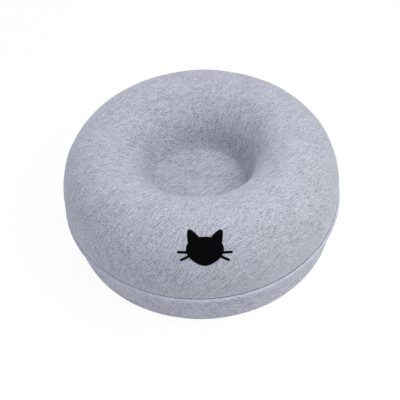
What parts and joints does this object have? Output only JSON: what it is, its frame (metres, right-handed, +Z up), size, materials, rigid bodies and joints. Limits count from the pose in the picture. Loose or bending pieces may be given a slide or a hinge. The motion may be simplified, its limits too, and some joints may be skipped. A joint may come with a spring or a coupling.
{
  "type": "cat tunnel bed",
  "caption": "Round felt cat bed shaped as a hollow ring, with a sunken middle to lie in, a tunnel inside the ring, a rear entrance and a flat black cat-face mark on the front.",
  "frame": {"origin": "on the floor, on the axis of the ring", "axes": "+Z up along the axis of the ring, -Y to the front with the mark, +Y to the rear with the entrance, +X to the right seen from the front"},
  "size_m": [0.6, 0.594, 0.24],
  "materials": {
    "felt_upper": "light grey melange needle felt, matt, with short darker and lighter fibres",
    "felt_lower": "light grey melange needle felt, matt, with short darker and lighter fibres",
    "mark": "matt black flock"
  },
  "bodies": {
    "root": {"top_shell": "felt_upper", "base_shell": "felt_lower", "cat_face": "mark"}
  },
  "joints": []
}
